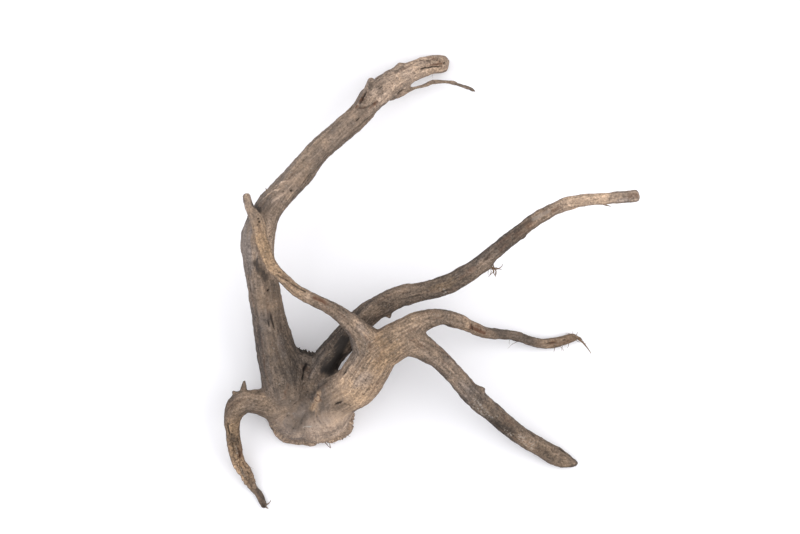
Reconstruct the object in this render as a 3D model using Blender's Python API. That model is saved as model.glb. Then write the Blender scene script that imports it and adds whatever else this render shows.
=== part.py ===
"""Driftwood: one weathered root piece that stands on its crown and on the tips of its limbs.

Every limb is a tapering tube along a smooth line through its stations. The limbs run down into
the crown, and the tubes are fused into one body, smoothed at the forks, and cut flat where the
wood rests. Stations are (x, y, z, radius) in millimetres, with the origin in the middle of the
crown's flat base, +Z up and +Y towards the long limb's tip.
"""

import math

import bmesh
import bpy
from mathutils import Vector

MM = 0.001
REST_HEIGHT = 0.0
FUSE_VOXEL_MM = 1.8
FORK_SMOOTHING_PASSES = 4
KEPT_FACE_SHARE = 0.07
FLOOR_BLOCK_MM = 600.0
SAMPLES_PER_SPAN = 6

# The cross-section is a circle with shallow lobes, which turn slowly along the limb.
SECTION_POINTS = 20
LOBES = ((2, 0.05, 0.3), (3, 0.035, 1.7))
LOBE_TURNS_PER_M = 2.5

LONG_LIMB = (
    (-6, -14, 4, 22),
    (-18, 3, 20, 25),
    (-25, 24, 34, 23),
    (-33.5, 57, 42, 20.2),
    (-40, 87, 49, 16),
    (-44.5, 116, 56, 15),
    (-48.2, 143, 63, 14.5),
    (-49.4, 166, 69, 15.8),
    (-41, 191, 70, 13.9),
    (-24.2, 212.2, 66, 13.2),
    (-12.8, 224.6, 63, 14),
    (-2.5, 237.5, 60, 12.6),
    (8.3, 250.8, 56.5, 11.9),
    (21.2, 262.3, 53, 11.2),
    (46.9, 285.1, 45, 11.2),
    (61.5, 304.5, 38, 12.2),
    (82.6, 322.5, 28, 11.6),
    (107, 334.6, 18, 9.9),
    (123, 339, 11, 9.6),
    (134.5, 340.3, 7.5, 8.4),
)

UNDER_LIMB = (
    (0, -6, 8, 22),
    (3, 18, 27, 18),
    (18, 49, 41, 14.3),
    (37, 70, 47, 13.3),
    (49.7, 85.2, 50.5, 12.6),
    (63.6, 97.3, 54, 11.5),
    (88, 110, 58, 10.1),
    (112, 115.1, 62, 8.7),
    (136, 122, 66, 9),
    (160, 135.5, 70, 8.8),
    (181, 154.5, 75, 7.6),
    (201, 170.5, 79, 7.4),
    (213, 180.4, 81.5, 7.1),
    (226, 188.5, 84, 6.8),
    (250, 199.8, 88, 6.6),
    (279, 203, 92, 5.6),
    (302, 204.7, 95, 5.6),
    (315, 206.3, 96, 5.7),
)

FORKED_LIMB = (
    (4, -16, 4, 24),
    (14, -5, 22, 26),
    (27.4, 11.6, 42, 22.4),
    (46, 22.9, 58, 21.3),
    (57.5, 40, 70, 20.2),
    (70, 57.5, 78, 17.4),
    (86, 68.5, 80, 17),
    (101, 73, 77, 15),
)

CROSSING_TWIG = (
    (67, 50, 74, 17),
    (58, 63, 77, 16),
    (50.5, 74, 81, 12.5),
    (40.5, 85, 86, 9),
    (26, 97, 91, 7.2),
    (9, 105.6, 94, 6.4),
    (-7.3, 113.6, 96, 6.2),
    (-21.6, 125.5, 97, 5.9),
    (-35, 140, 97, 5.8),
    (-43.5, 163, 97, 6.2),
    (-47, 181, 96, 6.6),
    (-54, 192, 94, 4.9),
    (-57.6, 201, 92, 4.4),
    (-59, 208.6, 91, 4.2),
)

RIGHT_LIMB = (
    (72, 59, 77, 18),
    (92, 75, 79, 14.4),
    (107.5, 85.2, 75, 10.6),
    (127, 89.9, 65, 7.8),
    (142, 86.5, 55, 7.6),
    (157, 79.5, 44, 6.6),
    (172, 73.7, 34, 5.9),
    (187, 72, 26, 5.4),
    (203, 69.5, 18, 5.2),
    (218, 64.3, 11, 5.2),
    (232, 61.5, 5.5, 5.3),
    (247, 63.5, 4.5, 5),
    (257, 66.5, 4.5, 4.8),
    (263.5, 68, 4.5, 3.8),
)

LOWER_LIMB = (
    (76, 60, 78, 18),
    (92, 68.5, 79, 15.5),
    (107, 62, 72, 12.3),
    (123.9, 50.5, 63, 9.7),
    (139.1, 35.2, 55, 9.1),
    (152.5, 19, 47, 9.6),
    (167.5, 4.5, 39, 10),
    (187, -11.6, 30, 10.2),
    (207, -28.5, 21, 9.8),
    (227, -40.8, 14, 8.9),
    (240, -49, 9.5, 9.3),
    (252, -55, 6.5, 7.6),
    (259, -57.2, 4.5, 5.6),
    (266, -57.6, 3, 2.8),
)

CURLED_ROOT = (
    (-10, -10, 10, 22),
    (-27, -1.6, 24, 20.6),
    (-43, 3.6, 31, 14.3),
    (-61, 5.6, 36, 11),
    (-72, 1, 34, 11.8),
    (-77.6, -12, 29, 8.9),
    (-76.9, -28, 23, 7.2),
    (-75, -43, 17, 7.6),
    (-72.3, -56, 12, 7),
    (-66.4, -65, 9, 7),
    (-62.5, -75, 6, 5.6),
    (-58.4, -82.5, 4, 3.6),
    (-52, -91, 3, 4.2),
    (-46.8, -102.5, 2.6, 3.6),
)

TIP_TWIGLET = (
    (77, 308, 27, 7),
    (88, 308.6, 26, 3.2),
    (94, 311, 25.5, 2.5),
    (102, 314.6, 24.5, 2.3),
    (113, 317.8, 24, 2.4),
    (120.2, 321.4, 23, 2.6),
    (129.8, 321.3, 22, 2.3),
    (139.3, 321, 21, 2.5),
    (147, 317.4, 20.5, 2.3),
    (155.6, 315.3, 20, 2.5),
    (164.8, 311, 19.5, 1.9),
)

END_ROOTLET = (
    (259, 68, 6, 2.6),
    (267, 67.6, 8, 1.8),
    (272, 62.2, 7, 1.3),
    (277, 55.5, 5, 1),
)

VALLEY_WEB = (
    (-22, 49, 37, 14),
    (-8, 42.5, 34, 13),
    (9, 37, 33, 13),
)

# Broken side shoots, knots and the thorn: short tubes from inside a limb to their own end.
STUBS = (
    ((54, 296, 40, 9), (57, 307, 46, 6.4), (59.5, 315.5, 50, 5), (60.7, 322.6, 51, 3.3)),
    ((82, 321, 30, 8), (87, 334, 29, 5), (88.5, 340, 29, 2.6)),
    ((104, 334, 19, 6), (109, 343.5, 20, 3), (111, 345.5, 20, 1.6)),
    ((74, 98, 54, 6), (77, 91.5, 53, 3), (79, 87.5, 53, 2)),
    ((174, 149, 75, 6), (173.2, 141, 73, 3.8), (175, 135.8, 72, 2.9)),
    ((203, 172, 79, 5), (206.5, 167, 78, 3), (208, 164.6, 78, 1.6)),
    ((201, 171, 79, 5), (204, 178, 80, 2.6), (205, 180, 80, 1.4)),
    ((162, 12, 44, 6), (168.5, 18, 44, 3.6), (171.5, 18.5, 43.5, 2)),
    ((-64, 8, 39, 6), (-65.5, 16, 40, 3.4), (-65, 22, 41, 2.4), (-64.5, 28.4, 41, 1.9)),
    ((-69, 6, 36, 8), (-73, 13, 37, 3.6), (-77.5, 16.5, 37, 1.4)),
    ((-38, 200, 68, 6), (-45, 206.5, 67, 2.4), (-46.5, 208.5, 67, 1.4)),
    ((-38, -19, 8, 6), (-41, -22.5, 8, 2.6), (-42, -23.5, 8, 1.6)),
)

# The crown flares to a broken rim. The rim's outline is (x, y), anticlockwise from the right.
CROWN_OUTLINE = (
    (43.3, -14),
    (42.2, -11),
    (41.3, -3),
    (37, 9),
    (28, 21),
    (14, 29),
    (-4, 32),
    (-22, 29),
    (-36, 20),
    (-43, 7),
    (-47, -10),
    (-42.5, -19),
    (-38, -30),
    (-34.8, -35),
    (-27, -39.2),
    (-16, -41.4),
    (-8.5, -40),
    (0, -42.5),
    (5, -38.5),
    (12, -36.5),
    (20, -38),
    (28, -36),
    (36, -33),
    (41.4, -25.5),
)
CROWN_CENTRE = (-4, -3)
# (height in millimetres, share of the outline) from under the base to inside the limbs.
CROWN_STEPS = (
    (-6, 0.93),
    (1, 0.97),
    (4, 1.0),
    (7, 0.95),
    (12, 0.88),
    (20, 0.81),
    (30, 0.72),
    (39, 0.59),
    (46, 0.4),
    (49, 0.15),
)


def section_radius(turn, along_m):
    """Share of the radius at an angle round the limb, at a distance along it."""
    share = 1.0
    for count, depth, phase in LOBES:
        share += depth * math.sin(count * (turn + phase + along_m * LOBE_TURNS_PER_M * math.tau))
    return share


def spline_point(p0, p1, p2, p3, t):
    """Catmull-Rom point between p1 and p2, for a tuple of any length."""
    return tuple(
        0.5 * (2 * b + (c - a) * t + (2 * a - 5 * b + 4 * c - d) * t * t + (3 * b - a - 3 * c + d) * t**3)
        for a, b, c, d in zip(p0, p1, p2, p3)
    )


def smooth_line(stations):
    """The stations with evenly spaced points between them, as (centre, radius) in metres."""
    ends = (stations[0], *stations, stations[-1])
    line = []
    for i in range(len(stations) - 1):
        for step in range(SAMPLES_PER_SPAN):
            line.append(spline_point(*ends[i : i + 4], step / SAMPLES_PER_SPAN))
    line.append(stations[-1])
    return [(Vector(p[:3]) * MM, p[3] * MM) for p in line]


def add_tube(bm, stations):
    """A closed tube with lobed sections. Its frame is carried along without twisting."""
    line = smooth_line(stations)
    across = None
    along = 0.0
    rings = []
    for i, (centre, radius) in enumerate(line):
        before = line[max(i - 1, 0)][0]
        after = line[min(i + 1, len(line) - 1)][0]
        forward = (after - before).normalized()
        if across is None:
            across = forward.orthogonal()
        across = (across - forward * across.dot(forward)).normalized()
        up = forward.cross(across)
        along += (centre - before).length
        ring = []
        for k in range(SECTION_POINTS):
            turn = math.tau * k / SECTION_POINTS
            reach = radius * section_radius(turn, along)
            ring.append(bm.verts.new(centre + (across * math.cos(turn) + up * math.sin(turn)) * reach))
        rings.append(ring)
    skin_rings(bm, rings)


def add_crown(bm):
    """The flared crown: its outline at each height, drawn in towards the middle."""
    middle = Vector((*CROWN_CENTRE, 0))
    rings = []
    for height, share in CROWN_STEPS:
        ring = []
        for x, y in CROWN_OUTLINE:
            point = middle + (Vector((x, y, 0)) - middle) * share
            point.z = height
            ring.append(bm.verts.new(point * MM))
        rings.append(ring)
    skin_rings(bm, rings)


def skin_rings(bm, rings):
    """Walls between neighbouring rings, and a cap at each end."""
    count = len(rings[0])
    for lower, upper in zip(rings, rings[1:]):
        for k in range(count):
            n = (k + 1) % count
            bm.faces.new((lower[k], lower[n], upper[n], upper[k]))
    bm.faces.new(rings[0][::-1])
    bm.faces.new(rings[-1])


def weathered_wood():
    material = bpy.data.materials.new("weathered_wood")
    material.use_nodes = True
    shader = material.node_tree.nodes["Principled BSDF"]
    shader.inputs["Base Color"].default_value = (0.25, 0.185, 0.138, 1.0)
    shader.inputs["Roughness"].default_value = 0.85
    shader.inputs["Metallic"].default_value = 0.0
    return material


def floor_cutter():
    """The block below the rest height, which trims the base and the tips flat."""
    mesh = bpy.data.meshes.new("floor_cutter")
    bm = bmesh.new()
    bmesh.ops.create_cube(bm, size=1.0)
    bmesh.ops.scale(bm, vec=(2 * FLOOR_BLOCK_MM * MM, 2 * FLOOR_BLOCK_MM * MM, 60 * MM), verts=bm.verts)
    bmesh.ops.translate(bm, vec=(0, 0, REST_HEIGHT - 30 * MM), verts=bm.verts)
    bm.to_mesh(mesh)
    bm.free()
    cutter = bpy.data.objects.new("floor_cutter", mesh)
    bpy.context.collection.objects.link(cutter)
    cutter.hide_render = True
    cutter.display_type = "WIRE"
    return cutter


def build_driftwood():
    bm = bmesh.new()
    limbs = (
        LONG_LIMB,
        UNDER_LIMB,
        FORKED_LIMB,
        CROSSING_TWIG,
        RIGHT_LIMB,
        LOWER_LIMB,
        CURLED_ROOT,
        TIP_TWIGLET,
        END_ROOTLET,
        VALLEY_WEB,
    )
    for stations in limbs + STUBS:
        add_tube(bm, stations)
    add_crown(bm)
    bmesh.ops.recalc_face_normals(bm, faces=bm.faces)
    mesh = bpy.data.meshes.new("driftwood")
    bm.to_mesh(mesh)
    bm.free()
    mesh.shade_smooth()
    mesh.materials.append(weathered_wood())
    driftwood = bpy.data.objects.new("driftwood", mesh)
    bpy.context.collection.objects.link(driftwood)

    fuse = driftwood.modifiers.new("fuse_limbs", "REMESH")
    fuse.mode = "VOXEL"
    fuse.voxel_size = FUSE_VOXEL_MM * MM
    fuse.use_smooth_shade = True
    soften = driftwood.modifiers.new("soften_forks", "SMOOTH")
    soften.factor = 0.5
    soften.iterations = FORK_SMOOTHING_PASSES
    thin_out = driftwood.modifiers.new("thin_out_faces", "DECIMATE")
    thin_out.ratio = KEPT_FACE_SHARE
    rest = driftwood.modifiers.new("flat_where_it_rests", "BOOLEAN")
    rest.operation = "DIFFERENCE"
    rest.solver = "EXACT"
    rest.object = floor_cutter()


for leftover in list(bpy.data.objects):
    bpy.data.objects.remove(leftover, do_unlink=True)
build_driftwood()
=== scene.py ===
"""Driftwood: the finished look of one weathered root piece.

The wood is a finely divided copy of the CAD solid. The grain runs along the limbs, and furrows,
cracks, worm holes, broken ends and stains follow it. Dried rootlets are curves of their own.
Lengths in the tables are in millimetres, in the frame of the CAD solid.
"""

import math

import bpy
import numpy as np
from bpy.props import FloatProperty, FloatVectorProperty, IntProperty, PointerProperty
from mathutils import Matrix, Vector, noise
from mathutils.bvhtree import BVHTree
from mathutils.kdtree import KDTree


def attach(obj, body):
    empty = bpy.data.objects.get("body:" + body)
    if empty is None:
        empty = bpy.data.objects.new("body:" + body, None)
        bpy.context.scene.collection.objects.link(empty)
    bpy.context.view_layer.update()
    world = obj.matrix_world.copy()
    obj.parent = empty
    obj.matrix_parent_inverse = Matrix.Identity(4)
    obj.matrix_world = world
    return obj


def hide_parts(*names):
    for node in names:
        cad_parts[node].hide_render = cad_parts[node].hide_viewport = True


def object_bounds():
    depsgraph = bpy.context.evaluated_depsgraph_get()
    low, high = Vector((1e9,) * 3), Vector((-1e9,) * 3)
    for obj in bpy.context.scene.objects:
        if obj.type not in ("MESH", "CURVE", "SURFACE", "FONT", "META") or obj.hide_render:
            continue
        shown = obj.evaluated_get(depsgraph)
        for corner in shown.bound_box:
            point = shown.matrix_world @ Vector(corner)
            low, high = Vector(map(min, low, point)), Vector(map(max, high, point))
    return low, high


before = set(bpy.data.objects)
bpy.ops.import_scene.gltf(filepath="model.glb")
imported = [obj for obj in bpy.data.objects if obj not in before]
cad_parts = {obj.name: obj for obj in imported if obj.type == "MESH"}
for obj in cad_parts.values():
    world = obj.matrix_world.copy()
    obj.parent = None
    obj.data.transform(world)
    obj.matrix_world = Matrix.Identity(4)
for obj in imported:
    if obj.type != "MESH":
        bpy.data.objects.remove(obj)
CAD_LOW, CAD_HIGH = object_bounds()

bl_info = {
    "name": "Driftwood",
    "version": (1, 0, 0),
    "blender": (4, 5, 0),
    "location": "3D View > Sidebar > Driftwood",
    "description": "Weathered driftwood with its grain, cracks, stains and rootlets",
    "category": "Object",
}

MM = 0.001
NODE = "driftwood"

# The run of the grain in each limb, from the crown to the tip. Each station is
# (x, y, z, radius, paleness, tan): 1 is the wood's usual paleness, and tan goes
# from 0, silver grey, to 1, yellow-brown.
GRAIN_LINES = {
    "long_limb": (
        (-18, 3, 20, 25, 0.9, 0.4),
        (-25, 24, 34, 23, 0.8, 0.35),
        (-33.5, 57, 42, 20, 0.76, 0.4),
        (-40, 87, 49, 16, 0.88, 0.45),
        (-44.5, 116, 56, 15, 0.97, 0.48),
        (-48, 143, 63, 15, 1.06, 0.42),
        (-49, 166, 69, 15.4, 1.16, 0.38),
        (-41, 191, 70, 14.3, 0.98, 0.42),
        (-24.5, 212.5, 66, 13.2, 1.06, 0.42),
        (-2.5, 237.5, 60, 12.7, 1.0, 0.42),
        (21.5, 262, 53, 10.9, 0.97, 0.42),
        (46.5, 285.5, 45, 11.5, 0.98, 0.42),
        (61.5, 304.5, 38, 12.2, 1.12, 0.42),
        (83, 321.5, 28, 11.6, 1.2, 0.42),
        (107, 335, 18, 10.2, 1.24, 0.5),
        (134.5, 340.3, 7.5, 8.4, 1.2, 0.5),
    ),
    "under_limb": (
        (3, 18, 27, 18, 0.85, 0.3),
        (18, 49, 41, 14.3, 0.72, 0.3),
        (37, 70, 47, 13.3, 0.68, 0.4),
        (64, 96.5, 54, 11, 0.86, 0.45),
        (88, 109, 58, 10.3, 0.92, 0.5),
        (112, 114.5, 62, 9.2, 0.84, 0.45),
        (136, 122, 66, 9, 0.74, 0.38),
        (160, 135.5, 70, 8.8, 0.88, 0.4),
        (181, 154.5, 75, 7.6, 0.8, 0.35),
        (201, 170.5, 79, 7.4, 0.8, 0.4),
        (226, 188.5, 84, 6.8, 1.02, 0.55),
        (250, 200.5, 88, 6.4, 1.22, 0.5),
        (279, 203, 92, 5.6, 1.28, 0.48),
        (313, 206.3, 96, 5, 0.98, 0.4),
    ),
    "forked_limb": (
        (4, -16, 4, 24, 1.1, 0.55),
        (14, -5, 22, 26, 1.0, 0.5),
        (28, 11, 42, 23.5, 0.88, 0.5),
        (46, 23, 58, 21.6, 1.2, 0.72),
        (57.5, 40, 70, 20.2, 1.14, 0.75),
        (70, 57.5, 78, 18, 1.02, 0.8),
        (86, 68.5, 80, 17, 0.98, 0.7),
    ),
    "crossing_twig": (
        (67, 50, 74, 17, 1.0, 0.55),
        (58, 63, 77, 16, 0.88, 0.3),
        (50.5, 74, 81, 12.5, 0.9, 0.35),
        (40.5, 85, 86, 9, 1.02, 0.5),
        (26, 97, 91, 7.2, 0.94, 0.5),
        (9, 105.6, 94, 6.4, 0.92, 0.5),
        (-21.6, 125.5, 97, 5.9, 1.04, 0.75),
        (-35, 140, 97, 5.8, 1.06, 0.95),
        (-43.5, 163, 97, 6.2, 1.02, 1.0),
        (-47, 181, 96, 6.6, 1.06, 0.6),
        (-54, 192, 94, 4.9, 1.12, 0.45),
        (-59, 208.5, 91, 4.2, 1.2, 0.45),
    ),
    "right_limb": (
        (72, 59, 77, 18, 1.0, 0.75),
        (92, 75, 79, 14.4, 1.0, 0.6),
        (107.5, 84.5, 75, 11, 0.95, 0.5),
        (127, 89.5, 65, 8.2, 0.94, 0.5),
        (142, 87, 55, 7.6, 0.98, 0.55),
        (157, 80, 44, 6.5, 1.12, 0.7),
        (172, 74, 34, 5.8, 1.0, 0.6),
        (187, 71.5, 26, 5.4, 0.84, 0.35),
        (218, 63.5, 11, 5.2, 0.86, 0.4),
        (232, 61.5, 5.5, 5.3, 0.9, 0.7),
        (263.5, 68, 4.5, 3.8, 0.9, 0.75),
    ),
    "lower_limb": (
        (76, 60, 78, 18, 1.0, 0.75),
        (92, 68.5, 79, 15.5, 1.02, 0.6),
        (107, 62, 72, 12.8, 0.98, 0.5),
        (123, 49.5, 63, 9.9, 0.96, 0.45),
        (138.5, 34.5, 55, 9.2, 0.95, 0.4),
        (152.5, 19, 47, 9.6, 0.96, 0.4),
        (167.5, 4.5, 39, 10, 0.9, 0.4),
        (186.5, -12, 30, 9.9, 0.7, 0.4),
        (207, -28.5, 21, 9.8, 0.86, 0.5),
        (227, -40.8, 14, 9.2, 0.86, 0.6),
        (252, -55, 6.5, 7.6, 0.88, 0.6),
        (266, -57.6, 3, 2.8, 0.98, 0.5),
    ),
    "curled_root": (
        (-10, -10, 10, 22, 1.0, 0.5),
        (-27, -2, 24, 21, 0.88, 0.45),
        (-43, 3, 31, 15.5, 0.8, 0.45),
        (-61, 5.6, 36, 11, 0.92, 0.45),
        (-72, 1, 34, 11.8, 0.9, 0.7),
        (-77, -12, 29, 8.7, 0.86, 0.95),
        (-76.5, -28, 23, 7, 0.9, 0.9),
        (-74.5, -43, 17, 7.3, 0.92, 0.85),
        (-72.3, -56, 12, 7, 1.08, 0.85),
        (-66.4, -65, 9, 7, 1.1, 0.8),
        (-58.4, -82.5, 4, 4, 0.94, 0.6),
        (-46.8, -102.5, 2.6, 3.6, 0.76, 0.5),
    ),
    "tip_twiglet": (
        (77, 308, 27, 7, 1.1, 0.5),
        (88, 308.6, 26, 3.2, 1.08, 0.5),
        (113, 317.8, 24, 2.4, 1.0, 0.5),
        (130, 321.3, 22, 2.3, 0.95, 0.45),
        (164.8, 311, 19.5, 1.9, 0.84, 0.3),
    ),
    "end_rootlet": (
        (259, 68, 6, 2.4, 0.9, 0.6),
        (272, 62.5, 7, 1.3, 0.75, 0.5),
        (277, 55.5, 5, 0.9, 0.7, 0.5),
    ),
    "valley": (
        (-22, 49, 37, 14, 0.8, 0.2),
        (-8, 42.5, 34, 13, 0.8, 0.2),
        (9, 37, 33, 13, 0.8, 0.25),
    ),
}
# The crown's grain flares from the limbs down to the broken rim, less far along Y than along X.
CROWN_CENTRE = (-4, -3)
CROWN_SPOKES = 14
CROWN_Y_SHARE = 0.85
# Each station of a spoke: (distance out, z, radius, paleness, tan).
CROWN_SPOKE = ((14, 44, 16, 0.84, 0.36), (26, 26, 15, 1.2, 0.42), (40, 3, 14, 1.3, 0.5))

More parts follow.
